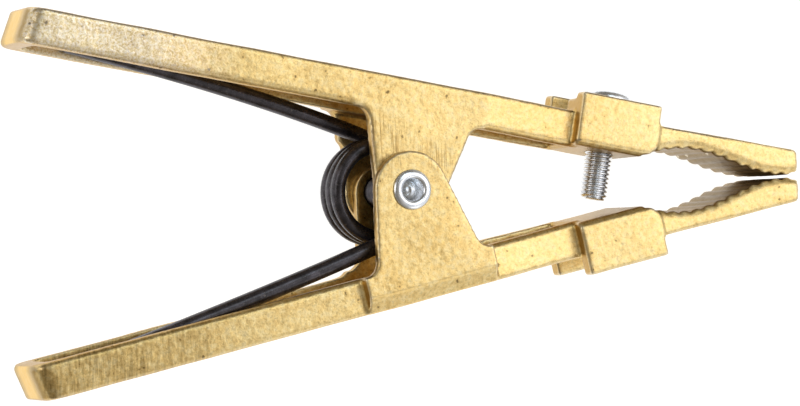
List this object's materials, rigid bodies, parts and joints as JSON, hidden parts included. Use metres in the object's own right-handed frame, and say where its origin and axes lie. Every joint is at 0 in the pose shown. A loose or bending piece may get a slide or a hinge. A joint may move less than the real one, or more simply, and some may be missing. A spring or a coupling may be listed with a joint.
{
  "type": "welding ground clamp",
  "caption": "Spring-loaded cast brass earth clamp for arc welding: channel handles, toothed oval jaws, and a cable lug seat with its screw on one arm.",
  "frame": {"origin": "under the middle of the clamp, on the surface that it lies on", "axes": "+X along the clamp from the handles to the jaws, +Z along the pivot axis and up as the clamp lies, +Y towards the arm with the cable screw"},
  "size_m": [0.2308, 0.1068, 0.0341],
  "materials": {
    "brass": "sand-cast brass, tumbled, pebbled and slightly tarnished",
    "zinc": "bright zinc-plated steel",
    "spring_steel": "black oiled spring steel with a soft sheen"
  },
  "bodies": {
    "lower": {"lower_arm": "brass", "pivot_rivet": "zinc", "torsion_spring": "spring_steel"},
    "upper": {"upper_arm": "brass", "flat_washer": "zinc", "spring_washer": "zinc", "cable_screw": "zinc"}
  },
  "joints": [
    {"name": "pivot", "type": "hinge", "parent": "lower", "child": "upper", "pos_m": [-0.00567, 0, 0], "axis": [0, 0, 1], "range_deg": [0, 24], "stiffness_Nm_per_rad": 2, "springref_deg": -34.38, "deforming": ["torsion_spring"]}
  ]
}
